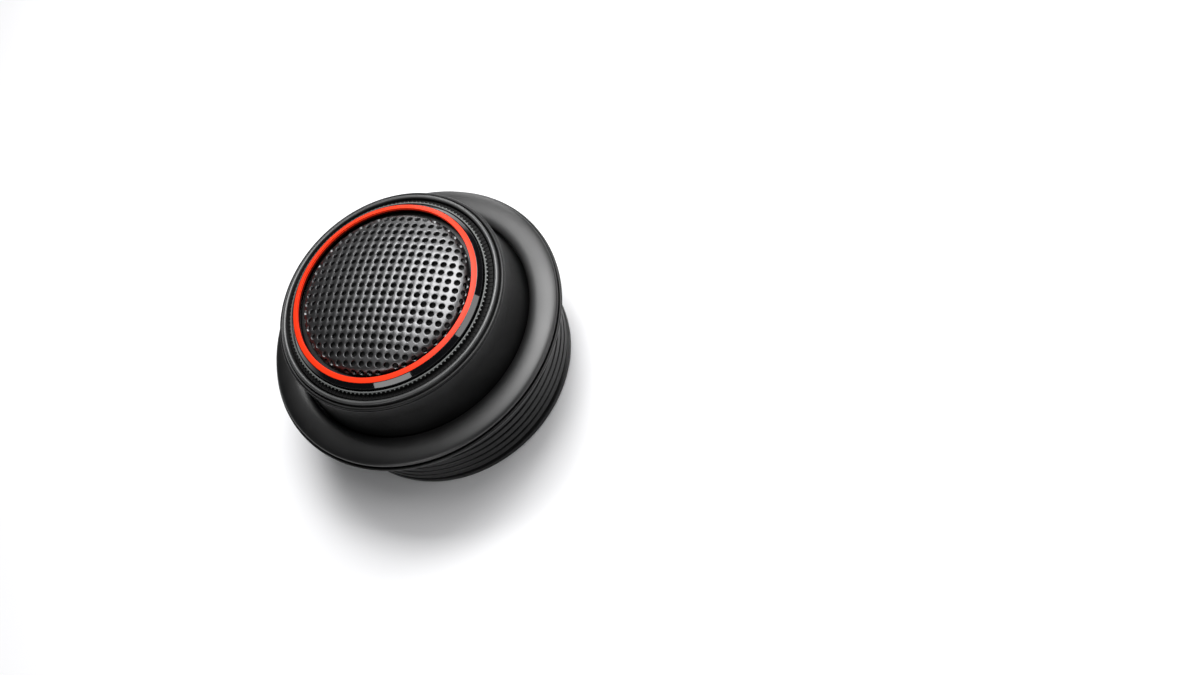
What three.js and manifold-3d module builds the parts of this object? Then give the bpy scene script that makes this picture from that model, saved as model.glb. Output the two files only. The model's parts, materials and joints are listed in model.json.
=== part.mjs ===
// A flush-mount car tweeter: a threaded cup with a trim flange, and a round head
// that turns and tilts in the cup's collar. Millimetres, +Z out of the front,
// origin at the centre of the rear face.

import * as THREE from 'three';
import { mergeVertices } from 'three/addons/utils/BufferGeometryUtils.js';
import Module from 'manifold-3d';

const wasm = await Module();
wasm.setup();

// ---- Driving dimensions ----

const ballRadius = 17.45;          // outside of the tilting head; the other radii stack on it
const baseDepth = 16.8;            // rear face to the widest line of the flange
const collarHeight = 10.2;         // widest line of the flange to the top of the collar
const tiltLimit = 15;              // degrees that the head tilts each way

const fitGap = 0.3;                // between pieces that seat on each other
const closeGap = 0.1;              // between pieces that are bonded or pressed together
const runningGap = 0.2;            // between the head and the ring that it tilts in
const pinClearance = 0.15;         // round each pivot pin

// Swivel ring and the rings round it
const swivelWall = 1.05;
const swivelFlangeHeight = 1.0;
const indexRingWall = 0.35;
const indexRingHeight = 0.6;
const retainerWall = 0.7;
const retainerRise = 0.6;          // above the collar
const washerThickness = 0.4;
const ledgeThickness = 1.2;
const pivotDrop = 1.0;             // collar top down to the tilt axis
const swivelRise = 1.1;            // tilt axis up to the top of the swivel ring
const swivelDrop = 1.9;            // tilt axis down to the foot of the swivel ring
const pinRadius = 0.5;
const pinLength = 2.0;

// Collar, flange and threaded base
const collarWall = 0.6;
const collarFlare = 0.9;           // how far the foot stands out from the lip
const collarFootHeight = 0.5;
const neckShare = 1 / 3;           // of the collar, straight above its flare
const skirtWall = 1.0;
const skirtDepth = 5.0;            // below the widest line of the flange
const grooveWidth = 0.4;
const flangeWidth = 5.1;
const flangeCrown = 1.7;           // above the widest line
const flangeInnerRise = 1.2;
const crownWidth = 3.5;
const edgeRound = 0.3;
const trimInset = 0.25;            // flange trim in from the lip under it
const lipThickness = 0.8;
const lipRise = 0.2;
const baseWall = 0.9;
const threadHeight = 0.9;
const rearChamfer = 0.7;

// Rear cover and what it carries
const coverThickness = 2.0;
const coverRim = 0.5;              // outside the screw heads
const bossHeight = 4.5;
const bossSink = 0.3;              // how far a boss runs into the wall
const screwCount = 3;
const screwStart = 90;             // degrees round to the first screw
const screwHeadRadius = 1.6;
const screwHeadHeight = 0.7;
const screwShankRadius = 0.8;
const screwLength = 5.0;
const grommetBore = 1.7;
const grommetWall = 1.3;
const grommetFlange = 1.2;
const grommetFlangeThickness = 0.5;

// Head, measured up from the tilt axis
const shellWall = 1.25;
const shellLowerWall = 2.35;       // at the narrow lower bore
const shellTop = 1.5;
const ledgeLevel = -1.5;           // where the faceplate seats
const bezelHeight = 1.55;
const bezelWidth = 0.61;           // ball down to the accent ring's seat
const bezelLand = 0.12;
const bezelInset = 0.03;
const bezelFloor = 0.55;
const accentWidth = 1.0;
const accentHeight = 0.8;
const grilleThickness = 0.5;
const grilleSkirt = 1.1;
const grilleShoulder = 0.35;
const shoulderSweep = 80;          // degrees
const grilleRise = 1.85;
const grillePower = 2.2;           // fullness of the grille's dome
const domePower = 2;               // and of the soft dome's
const scrimThickness = 0.25;
const scrimInset = 0.3;

// Driver inside the head
const faceplateThickness = 1.5;
const faceplateWidth = 2.7;
const clampThickness = 0.6;
const clampWidth = 1.7;
const surroundThickness = 0.3;
const surroundRoll = 0.9;
const domeClearance = 0.7;         // under the scrim, for the dome's travel
const domeThickness = 0.3;
const domeEdgeLevel = 0.5;
const formerWall = 0.2;
const formerOverhang = 0.2;        // below the coil
const coilWall = 0.4;
const coilHeight = 2.5;
const poleGap = 0.2;
const polePlateThickness = 1.8;
const magnetThickness = 2.7;
const magnetInset = 0.4;
const yokeWall = 1.4;
const yokeFloor = 1.8;
const padThickness = 1.0;
const padInset = 3.0;

// Rear cap of the head and its terminals
const capWall = 0.7;
const capFloor = 1.0;
const boardLength = 14.0;
const boardWidth = 7.0;
const boardThickness = 1.2;
const tabWidth = 2.8;
const tabThickness = 0.8;
const tabLength = 3.4;
const tabSpacing = 5.0;
const boardScrewSpacing = 11.0;
const boardScrewRadius = 0.9;
const boardScrewHeight = 0.6;

const roundSteps = 36;
const pinSteps = 12;
const quarterSteps = 4;            // in the flange's shoulder and the surround's roll
const beadSteps = 4;
const flareSteps = 3;
const ballSteps = 6;
const chamferSteps = 3;
const shoulderSteps = 2;
const domeSteps = 4;
const grilleSteps = 5;
const grilleInnerSteps = 6;
const degree = Math.PI / 180;      // in radians

// ---- Radii that follow ----

const ringBore = ballRadius + runningGap;
const swivelRadius = ringBore + swivelWall;
const retainerBore = swivelRadius + fitGap;
const retainerRadius = retainerBore + retainerWall;
const collarBore = retainerRadius + fitGap;
const collarRadius = collarBore + collarWall;
const footRadius = collarRadius + collarFlare;
const ledgeBore = ringBore + indexRingWall;
const skirtRadius = collarBore + skirtWall;
const flangeBore = footRadius + grooveWidth;
const flangeRadius = flangeBore + flangeWidth;
const baseBore = skirtRadius + fitGap;
const crestRadius = baseBore + baseWall + threadHeight;
const trimRadius = flangeRadius - trimInset;
const coverRadius = baseBore - fitGap;
const bossCircle = coverRadius - coverRim - screwHeadRadius - fitGap;
const bossRadius = baseBore + bossSink - bossCircle;

const accentRadius = ballRadius - bezelWidth - closeGap;
const accentBore = accentRadius - accentWidth;
const grilleRadius = accentBore - closeGap;
const shellBore = ballRadius - shellWall;
const shellLowerBore = ballRadius - shellLowerWall;
const faceplateRadius = shellBore - fitGap;
const faceplateBore = faceplateRadius - faceplateWidth;
const yokeRadius = shellLowerBore - fitGap - closeGap;
const yokeBore = yokeRadius - yokeWall;
const coilRadius = yokeBore - fitGap;
const coilBore = coilRadius - coilWall;
const formerRadius = coilBore - closeGap;
const formerBore = formerRadius - formerWall;
const poleRadius = formerBore - poleGap;
const magnetRadius = poleRadius - magnetInset;
const capBore = yokeRadius + fitGap;
const capRadius = capBore + capWall;

// ---- Heights that follow ----

const flangeLevel = baseDepth;
const collarTop = flangeLevel + collarHeight;
const pivotLevel = collarTop - pivotDrop;
const swivelTop = pivotLevel + swivelRise;
const swivelFoot = pivotLevel - swivelDrop;
const washerTop = swivelFoot - fitGap;
const ledgeTop = washerTop - washerThickness - fitGap;
const lipTop = flangeLevel + lipRise;
const lipFoot = lipTop - lipThickness;
const footLevel = lipTop + fitGap;
const bossLevel = coverThickness + fitGap;

const shellTopLevel = pivotLevel + shellTop;
const bezelLevel = shellTopLevel + fitGap;
const bezelTop = bezelLevel + bezelHeight;
const accentLevel = bezelLevel + bezelFloor + fitGap;
const accentTop = accentLevel + accentHeight;
const faceplateLevel = pivotLevel + ledgeLevel + fitGap;
const faceplateTop = faceplateLevel + faceplateThickness;
const clampLevel = faceplateTop + surroundThickness + 2 * fitGap;
const grilleLevel = clampLevel + clampThickness + fitGap;
const grilleEdgeTop = grilleLevel + grilleSkirt + grilleShoulder;
const scrimTop = grilleEdgeTop - grilleThickness - fitGap;
const domeEdge = pivotLevel + domeEdgeLevel;
const domeTop = scrimTop + grilleRise - scrimThickness - domeClearance;
const domeRise = domeTop - domeThickness - domeEdge;
const yokeTop = faceplateLevel - fitGap;
const polePlateTop = yokeTop - closeGap;
const coilFoot = polePlateTop - (polePlateThickness + coilHeight) / 2;
const magnetTop = polePlateTop - polePlateThickness - fitGap;
const yokeFloorTop = magnetTop - magnetThickness - fitGap;
const yokeFoot = yokeFloorTop - yokeFloor;
const shellFootAngle = Math.asin(swivelDrop / ballRadius) + tiltLimit * degree;
const shellFoot = pivotLevel - ballRadius * Math.sin(shellFootAngle);
const capTop = shellFoot - fitGap;
const capFoot = yokeFoot - fitGap - capFloor;
const boardTop = capFoot - fitGap;
const boardFoot = boardTop - boardThickness;

// ---- Shape helpers ----

const point = (radius, level) => new THREE.Vector2(radius, level);

// Points along a circle in the section plane, from one angle to another in degrees.
function arc(centre, radius, from, to, steps) {
  return Array.from({ length: steps + 1 }, (_, i) => {
    const angle = (from + (to - from) * i / steps) * degree;
    return point(centre.x + radius * Math.cos(angle), centre.y + radius * Math.sin(angle));
  });
}

// Points on a parabola-like cap from its edge in to the axis.
function capLine(edgeRadius, edgeLevel, rise, power, steps) {
  return Array.from({ length: steps + 1 }, (_, i) => {
    const share = 1 - i / steps;
    return point(edgeRadius * share, edgeLevel + rise * (1 - share ** power));
  });
}

// Only positions, with shared corners merged and empty triangles dropped.
function closed(geometry) {
  geometry.deleteAttribute('normal');
  geometry.deleteAttribute('uv');
  const merged = mergeVertices(geometry);
  const index = merged.index.array;
  const kept = [];
  for (let i = 0; i < index.length; i += 3) {
    const [a, b, c] = index.slice(i, i + 3);
    if (a !== b && b !== c && c !== a) kept.push(a, b, c);
  }
  merged.setIndex(kept);
  return merged;
}

// A section, given anticlockwise with the radius to the right, spun round the Z axis.
function spun(section, steps = roundSteps) {
  const outline = section[0].x === 0 ? section : [...section, section[0]];
  return closed(new THREE.LatheGeometry(outline, steps).rotateX(Math.PI / 2));
}

const ring = (bore, radius, low, high) => spun([
  point(bore, low), point(radius, low), point(radius, high), point(bore, high),
]);

const disc = (radius, low, high, steps = roundSteps) => spun([
  point(0, low), point(radius, low), point(radius, high), point(0, high),
], steps);

function solid(geometry) {
  return new wasm.Manifold(new wasm.Mesh({
    numProp: 3,
    vertProperties: geometry.attributes.position.array,
    triVerts: Uint32Array.from(geometry.index.array),
  }));
}

function shape(body) {
  const mesh = body.getMesh();
  const geometry = new THREE.BufferGeometry();
  geometry.setAttribute('position', new THREE.BufferAttribute(mesh.vertProperties, 3));
  geometry.setIndex(new THREE.BufferAttribute(mesh.triVerts, 1));
  return geometry;
}

const joined = (first, others) => others.reduce((body, g) => body.add(solid(g)), solid(first));
const cut = (body, tools) => tools.reduce((rest, g) => rest.subtract(solid(g)), body);

const post = (radius, low, high, x, y) => disc(radius, low, high, pinSteps).translate(x, y, 0);

// The same thing at each screw of the rear cover.
const atScrews = (make) => Array.from({ length: screwCount }, (_, i) => {
  const angle = (screwStart + 360 * i / screwCount) * degree;
  return make(bossCircle * Math.cos(angle), bossCircle * Math.sin(angle));
});

const pinHole = () => closed(new THREE.CylinderGeometry(
  pinRadius + pinClearance, pinRadius + pinClearance, 2 * flangeRadius, pinSteps,
).rotateZ(Math.PI / 2).translate(0, 0, pivotLevel));

// ---- Cup: flange, threaded base, collar and rear cover ----

function trimFlange() {
  const rise = flangeLevel + flangeCrown - footLevel;
  const shoulder = Array.from({ length: quarterSteps + 1 }, (_, i) => {
    const angle = i / quarterSteps * Math.PI / 2;
    return point(trimRadius - crownWidth * (1 - Math.cos(angle)), footLevel + rise * Math.sin(angle));
  });
  return spun([
    point(flangeBore, footLevel), ...shoulder,
    point(flangeBore + edgeRound, flangeLevel + flangeInnerRise + edgeRound),
    point(flangeBore, flangeLevel + flangeInnerRise),
  ]);
}

function threadedBase() {
  const wall = spun([
    point(baseBore, 0), point(crestRadius - rearChamfer, 0), point(crestRadius, rearChamfer),
    point(crestRadius, lipFoot), point(flangeRadius - edgeRound, lipFoot),
    point(flangeRadius, lipFoot + edgeRound), point(flangeRadius, lipTop - edgeRound),
    point(flangeRadius - edgeRound / 2, lipTop), point(baseBore, lipTop),
  ]);
  const bosses = atScrews((x, y) => post(bossRadius, bossLevel, bossLevel + bossHeight, x, y));
  const holes = atScrews((x, y) => post(
    screwShankRadius + fitGap, bossLevel - fitGap, screwHeadHeight + screwLength + fitGap, x, y,
  ));
  return shape(cut(joined(wall, bosses), holes));
}

function collar() {
  const footTop = footLevel + collarFootHeight;
  const flareTop = collarTop - collarHeight * neckShare;
  const flare = Array.from({ length: flareSteps + 1 }, (_, i) => {
    const share = i / flareSteps;
    return point(
      footRadius - (collarFlare + collarWall * neckShare) * Math.sin(share * Math.PI / 2),
      footTop + (flareTop - footTop) * share ** 2,
    );
  });
  return spun([
    point(collarBore, flangeLevel - skirtDepth), point(skirtRadius, flangeLevel - skirtDepth),
    point(skirtRadius, footLevel), point(footRadius, footLevel), ...flare,
    point(collarRadius, collarTop - collarWall), point(collarRadius, collarTop - collarWall / 2),
    point(collarRadius - collarWall / 2, collarTop), point(collarBore, collarTop),
    point(collarBore, ledgeTop), point(ledgeBore, ledgeTop),
    point(ledgeBore, ledgeTop - ledgeThickness), point(collarBore, ledgeTop - ledgeThickness),
  ]);
}

function retainingRing() {
  const foot = swivelFoot + swivelFlangeHeight + fitGap;
  const top = collarTop + retainerRise;
  const round = retainerWall / 2;
  return spun([
    point(retainerBore, foot), point(retainerRadius, foot),
    ...arc(point(retainerRadius - round, top - round), round, 0, 180, beadSteps),
  ]);
}

function rearCover() {
  const plate = disc(coverRadius, 0, coverThickness);
  const neck = grommetBore + grommetWall + fitGap;
  return shape(cut(solid(plate), [
    ...atScrews((x, y) => post(screwShankRadius + fitGap, -1, coverThickness + 1, x, y)),
    ...atScrews((x, y) => post(screwHeadRadius + fitGap, -1, screwHeadHeight + 2 * fitGap, x, y)),
    disc(neck, -1, coverThickness + 1, pinSteps),
    disc(neck + grommetFlange, -1, grommetFlangeThickness + 2 * fitGap, pinSteps),
  ]));
}

function coverScrew(x, y) {
  const tip = screwHeadHeight + screwLength;
  return spun([
    point(0, fitGap), point(screwHeadRadius, fitGap),
    point(screwHeadRadius, screwHeadHeight + fitGap), point(screwShankRadius, screwHeadHeight + fitGap),
    point(screwShankRadius, tip - screwShankRadius), point(0, tip),
  ], pinSteps).translate(x, y, 0);
}

function cableGrommet() {
  const neck = grommetBore + grommetWall;
  const brim = neck + grommetFlange;
  const outerTop = fitGap + grommetFlangeThickness;
  const innerFoot = coverThickness + fitGap;
  return spun([
    point(grommetBore, fitGap), point(brim, fitGap), point(brim, outerTop), point(neck, outerTop),
    point(neck, innerFoot), point(brim, innerFoot),
    point(brim, innerFoot + grommetFlangeThickness), point(grommetBore, innerFoot + grommetFlangeThickness),
  ], pinSteps);
}

// ---- Swivel ring, which turns in the collar ----

function swivelRing() {
  const flangeTop = swivelFoot + swivelFlangeHeight;
  return shape(cut(solid(spun([
    point(ringBore, swivelFoot), point(retainerRadius, swivelFoot), point(retainerRadius, flangeTop),
    point(swivelRadius, flangeTop), point(swivelRadius, swivelTop), point(ringBore, swivelTop),
  ])), [pinHole()]));
}

const indexRing = () => ring(
  ringBore, ringBore + indexRingWall, swivelTop + fitGap, swivelTop + fitGap + indexRingHeight,
);

const pivotPin = (side) => closed(new THREE.CylinderGeometry(pinRadius, pinRadius, pinLength, pinSteps)
  .rotateZ(Math.PI / 2).translate(side * (swivelRadius - closeGap - pinLength / 2), 0, pivotLevel));

// ---- Head, which tilts in the swivel ring ----

function headShell() {
  const degrees = (level) => Math.asin((level - pivotLevel) / ballRadius) / degree;
  return shape(cut(solid(spun([
    point(shellLowerBore, shellFoot),
    ...arc(point(0, pivotLevel), ballRadius, degrees(shellFoot), degrees(shellTopLevel), ballSteps),
    point(shellBore, shellTopLevel), point(shellBore, pivotLevel + ledgeLevel),
    point(shellLowerBore, pivotLevel + ledgeLevel),
  ])), [pinHole()]));
}

function glossBezel() {
  const face = ballRadius - bezelInset;
  const degrees = (level) => Math.asin((level - pivotLevel) / face) / degree;
  const seat = accentRadius + closeGap;
  return spun([
    point(shellBore, bezelLevel),
    ...arc(point(0, pivotLevel), face, degrees(bezelLevel), degrees(bezelLevel + bezelHeight / 2),
      chamferSteps),
    point(seat + bezelLand, bezelTop), point(seat, bezelTop),
    point(seat, bezelLevel + bezelFloor), point(shellBore, bezelLevel + bezelFloor),
  ]);
}

function grille() {
  const capRadius = grilleRadius - grilleShoulder;
  const shoulder = arc(
    point(capRadius, grilleEdgeTop - grilleShoulder), grilleShoulder, 0, shoulderSweep, shoulderSteps,
  );
  const outside = capLine(capRadius, grilleEdgeTop, grilleRise, grillePower, grilleSteps);
  const bore = grilleRadius - grilleThickness;
  const inside = capLine(
    bore - grilleShoulder / 2, grilleEdgeTop - grilleThickness, grilleRise, grillePower, grilleInnerSteps,
  ).reverse();
  return spun([
    ...inside, point(bore, grilleEdgeTop - grilleThickness - grilleShoulder), point(bore, grilleLevel),
    point(grilleRadius, grilleLevel), ...shoulder, ...outside,
  ]);
}

// The acoustic cloth follows the inside of the grille.
function dustScrim() {
  const edge = grilleRadius - grilleThickness - grilleShoulder - scrimInset;
  const line = (level) => capLine(edge, level, grilleRise, grillePower, domeSteps);
  return spun([...line(scrimTop - scrimThickness).reverse(), ...line(scrimTop)]);
}

function rearCap() {
  const wallFoot = capFoot + capFloor;
  return spun([
    point(0, capFoot), point(capBore, capFoot), point(capRadius, wallFoot), point(capRadius, capTop),
    point(capBore, capTop), point(capBore, wallFoot), point(0, wallFoot),
  ]);
}

function terminalBoard() {
  const board = new THREE.BoxGeometry(boardLength, boardWidth, boardThickness);
  return closed(board.translate(0, 0, boardTop - boardThickness / 2));
}

const terminalTab = (side) => closed(new THREE.BoxGeometry(tabThickness, tabWidth, tabLength)
  .translate(side * tabSpacing / 2, 0, boardFoot - fitGap - tabLength / 2));

function boardScrew(side) {
  const head = boardFoot - fitGap;
  return disc(boardScrewRadius, head - boardScrewHeight, head, pinSteps)
    .translate(side * boardScrewSpacing / 2, 0, 0);
}

// ---- Motor and diaphragm ----

function yokeCup() {
  return spun([
    point(0, yokeFoot), point(yokeRadius, yokeFoot), point(yokeRadius, yokeTop), point(yokeBore, yokeTop),
    point(yokeBore, yokeFloorTop), point(0, yokeFloorTop),
  ]);
}

function domeCap() {
  const line = (level) => capLine(formerRadius, level, domeRise, domePower, domeSteps);
  return spun([...line(domeEdge).reverse(), ...line(domeEdge + domeThickness)]);
}

function surroundRing() {
  const low = faceplateTop + fitGap;
  const bore = formerRadius + fitGap;
  const radius = faceplateRadius;
  const rollOuter = faceplateBore + clampWidth / 2;
  const middle = (bore + rollOuter) / 2;
  const half = (rollOuter - bore) / 2;
  const roll = (rise) => Array.from({ length: quarterSteps + 1 }, (_, i) => {
    const angle = i / quarterSteps * Math.PI;
    return point(middle + half * Math.cos(angle), low + rise + surroundRoll * Math.sin(angle));
  });
  return spun([
    ...roll(0).reverse(), point(radius, low), point(radius, low + surroundThickness),
    ...roll(surroundThickness),
  ]);
}

// ---- Assembly ----

const model = new THREE.Group();

function addPart(name, geometry, finish) {
  const mesh = new THREE.Mesh(geometry, new THREE.MeshStandardMaterial(finish));
  mesh.name = name;
  model.add(mesh);
}

const satinBlack = { color: 0x1b1b1d, roughness: 0.42, metalness: 0 };
const mouldedBlack = { color: 0x161617, roughness: 0.6, metalness: 0 };
const glossBlack = { color: 0x060607, roughness: 0.08, metalness: 0 };
const greenGrey = { color: 0x4a524c, roughness: 0.5, metalness: 0.1 };
const orange = { color: 0xff4c28, roughness: 0.55, metalness: 0 };
const gunmetal = { color: 0x63656a, roughness: 0.34, metalness: 0.9 };
const blackCloth = { color: 0x0b0b0c, roughness: 0.9, metalness: 0 };
const brightSteel = { color: 0xa9acb0, roughness: 0.3, metalness: 1 };
const platedSteel = { color: 0x8d8f86, roughness: 0.4, metalness: 1 };
const magnetNickel = { color: 0xbfc1c4, roughness: 0.22, metalness: 1 };
const silk = { color: 0x2a2622, roughness: 0.8, metalness: 0 };
const polyimide = { color: 0xa5661f, roughness: 0.4, metalness: 0 };
const copper = { color: 0xb66a3c, roughness: 0.35, metalness: 1 };
const feltGrey = { color: 0x55565a, roughness: 1, metalness: 0 };
const softRubber = { color: 0x101011, roughness: 0.8, metalness: 0 };
const brass = { color: 0xc9a44a, roughness: 0.3, metalness: 1 };
const boardBrown = { color: 0x5c3a1e, roughness: 0.6, metalness: 0 };

addPart('trim_flange', trimFlange(), satinBlack);
addPart('threaded_base', threadedBase(), mouldedBlack);
addPart('collar', collar(), satinBlack);
addPart('retaining_ring', retainingRing(), satinBlack);
addPart('friction_washer', ring(
  ledgeBore + closeGap, retainerRadius, washerTop - washerThickness, washerTop,
), brightSteel);
addPart('rear_cover', rearCover(), mouldedBlack);
atScrews(coverScrew).forEach((screw, i) => addPart(`rear_screw_${i + 1}`, screw, platedSteel));
addPart('cable_grommet', cableGrommet(), softRubber);

addPart('swivel_ring', swivelRing(), mouldedBlack);
addPart('index_ring', indexRing(), greenGrey);
[-1, 1].forEach((side, i) => addPart(`pivot_pin_${i + 1}`, pivotPin(side), brightSteel));

addPart('head_shell', headShell(), mouldedBlack);
addPart('gloss_bezel', glossBezel(), glossBlack);
addPart('accent_ring', ring(accentBore, accentRadius, accentLevel, accentTop), orange);
addPart('grille', grille(), gunmetal);
addPart('dust_scrim', dustScrim(), blackCloth);
addPart('clamp_ring', ring(
  faceplateRadius - clampWidth, faceplateRadius, clampLevel, clampLevel + clampThickness,
), mouldedBlack);
addPart('faceplate', ring(faceplateBore, faceplateRadius, faceplateLevel, faceplateTop), mouldedBlack);
addPart('yoke_cup', yokeCup(), platedSteel);
addPart('magnet', disc(magnetRadius, magnetTop - magnetThickness, magnetTop), magnetNickel);
addPart('pole_plate', disc(poleRadius, polePlateTop - polePlateThickness, polePlateTop), platedSteel);
addPart('damping_pad', disc(
  poleRadius - padInset, polePlateTop + fitGap, polePlateTop + fitGap + padThickness,
), feltGrey);
addPart('rear_cap', rearCap(), mouldedBlack);
addPart('terminal_board', terminalBoard(), boardBrown);
addPart('terminal_positive', terminalTab(-1), brass);
addPart('terminal_negative', terminalTab(1), platedSteel);
[-1, 1].forEach((side, i) => addPart(`board_screw_${i + 1}`, boardScrew(side), platedSteel));

addPart('dome', domeCap(), silk);
addPart('surround', surroundRing(), softRubber);
addPart('voice_coil_former', ring(
  formerBore, formerRadius, coilFoot - formerOverhang, domeEdge - fitGap,
), polyimide);
addPart('voice_coil', ring(coilBore, coilRadius, coilFoot, coilFoot + coilHeight), copper);

export default model;
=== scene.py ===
import json
import math

import bmesh
import bpy
from mathutils import Euler, Matrix, Vector


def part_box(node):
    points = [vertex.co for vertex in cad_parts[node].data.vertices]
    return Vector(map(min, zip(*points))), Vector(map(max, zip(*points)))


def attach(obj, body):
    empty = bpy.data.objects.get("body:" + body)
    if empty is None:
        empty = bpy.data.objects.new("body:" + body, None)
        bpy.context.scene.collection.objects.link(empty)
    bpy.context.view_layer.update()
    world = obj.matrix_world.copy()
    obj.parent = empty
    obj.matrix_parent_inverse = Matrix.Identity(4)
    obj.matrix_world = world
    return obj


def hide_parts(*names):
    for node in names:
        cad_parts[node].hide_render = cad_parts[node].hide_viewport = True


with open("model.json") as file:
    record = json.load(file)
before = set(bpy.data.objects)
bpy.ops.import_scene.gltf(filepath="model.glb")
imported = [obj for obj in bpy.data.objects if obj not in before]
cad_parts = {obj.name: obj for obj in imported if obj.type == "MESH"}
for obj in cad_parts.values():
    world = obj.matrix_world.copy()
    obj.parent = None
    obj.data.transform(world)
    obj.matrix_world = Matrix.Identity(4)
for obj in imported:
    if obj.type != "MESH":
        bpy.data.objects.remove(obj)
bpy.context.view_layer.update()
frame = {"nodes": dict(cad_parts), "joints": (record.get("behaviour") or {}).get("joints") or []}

mm = 0.001
weld = 0.001                   # in millimetres: points closer than this become one
turn = 2 * math.pi
seenSteps, plainSteps, hiddenSteps = 320, 240, 160         # round a turned piece
print("frame loaded:", len(frame["nodes"]), "nodes")


def measure(node, low=-1.0, high=100.0):       # the smallest and largest radius between two levels
    points = [v.co / mm for v in frame["nodes"][node].data.vertices]
    radii = [math.hypot(p.x, p.y) for p in points if low <= p.z <= high]
    foot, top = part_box(node)
    return {"bore": min(radii), "radius": max(radii), "low": foot.z / mm, "high": top.z / mm}


pivot = next(j for j in frame["joints"] if j["name"] == "head_tilt")["pos_m"][2] / mm
sizes = {node: measure(node) for node in frame["nodes"]}
flangeSize, baseSize, collarSize = sizes["trim_flange"], sizes["threaded_base"], sizes["collar"]
retainerSize, swivelSize, indexSize = sizes["retaining_ring"], sizes["swivel_ring"], sizes["index_ring"]
shellSize, bezelSize, accentSize = sizes["head_shell"], sizes["gloss_bezel"], sizes["accent_ring"]
grilleSize, coverSize, grommetSize = sizes["grille"], sizes["rear_cover"], sizes["cable_grommet"]
threadSize = measure("threaded_base", 0.2, flangeSize["low"] - 2)      # the barrel between its ends


cameraView = {
    "azimuth": -48.86, "elevation": 58.12, "roll": -34.65,     # degrees
    "distance": 216.0, "aim": (30.21, 3.61, 6.13), "lens": 37.26, "near": 5.0,
}


def onSphere(azimuth, elevation):
    a, e = math.radians(azimuth), math.radians(elevation)
    return Vector((math.cos(a) * math.cos(e), math.sin(a) * math.cos(e), math.sin(e)))


def addCamera(view):
    camera = bpy.data.objects.new("camera", bpy.data.cameras.new("camera"))
    camera.data.lens = view["lens"]
    camera.data.clip_start = view["near"] * mm
    away = onSphere(view["azimuth"], view["elevation"])
    camera.rotation_mode = "QUATERNION"
    camera.location = (Vector(view["aim"]) + away * view["distance"]) * mm
    rolled = Euler((0, 0, math.radians(view["roll"]))).to_quaternion()
    camera.rotation_quaternion = away.to_track_quat("Z", "Y") @ rolled
    bpy.context.scene.collection.objects.link(camera)
    bpy.context.scene.camera = camera


lights = {                     # where each softbox hangs, its two sides in mm, and its power in watts
    "keyBox": {"azimuth": 88, "elevation": 63, "distance": 260, "size": (200, 130), "power": 0.95},
    "topBox": {"azimuth": 0, "elevation": 80, "distance": 300, "size": (120, 120), "power": 0.24},
    "sideBox": {"azimuth": 3, "elevation": 24, "distance": 260, "size": (175, 75), "power": 0.16},
    "lowBox": {"azimuth": -90, "elevation": 22, "distance": 260, "size": (145, 75), "power": 0.16},
    "rimBox": {"azimuth": 50, "elevation": 36, "distance": 260, "size": (90, 90), "power": 0.14},
    "backBox": {"azimuth": 104, "elevation": 16, "distance": 260, "size": (90, 90), "power": 0.16},
}
lightAim = (0, 0, 22)
glow = {"colour": (0.9, 0.93, 1.0, 1), "strength": 0.03}


def addLight(name, spec):
    data = bpy.data.lights.new(name, "AREA")
    data.shape = "RECTANGLE"
    data.size, data.size_y = spec["size"][0] * mm, spec["size"][1] * mm
    data.energy = spec["power"]
    lamp = bpy.data.objects.new(name, data)
    away = onSphere(spec["azimuth"], spec["elevation"])
    lamp.location = (Vector(lightAim) + away * spec["distance"]) * mm
    lamp.rotation_mode = "QUATERNION"
    lamp.rotation_quaternion = away.to_track_quat("Z", "Y")
    bpy.context.scene.collection.objects.link(lamp)


addCamera(cameraView)
for name, spec in lights.items():
    addLight(name, spec)
world = bpy.data.worlds.new("studio")
world.use_nodes = True
background = world.node_tree.nodes["Background"].inputs
background["Color"].default_value = glow["colour"]
background["Strength"].default_value = glow["strength"]
bpy.context.scene.world = world
bpy.context.scene.view_settings.view_transform = "Standard"
print("camera and lights set")


class Wire:                    # a node's output, with arithmetic on it
    def __init__(self, shader, socket):
        self.shader = shader
        self.socket = socket

    def math(self, operation, first, second):
        return self.shader.node("ShaderNodeMath", {"operation": operation}, {0: first, 1: second})

    def __add__(self, other):
        return self.math("ADD", self, other)

    def __radd__(self, other):
        return self.math("ADD", other, self)

    def __mul__(self, other):
        return self.math("MULTIPLY", self, other)

    def __rmul__(self, other):
        return self.math("MULTIPLY", other, self)


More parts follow.
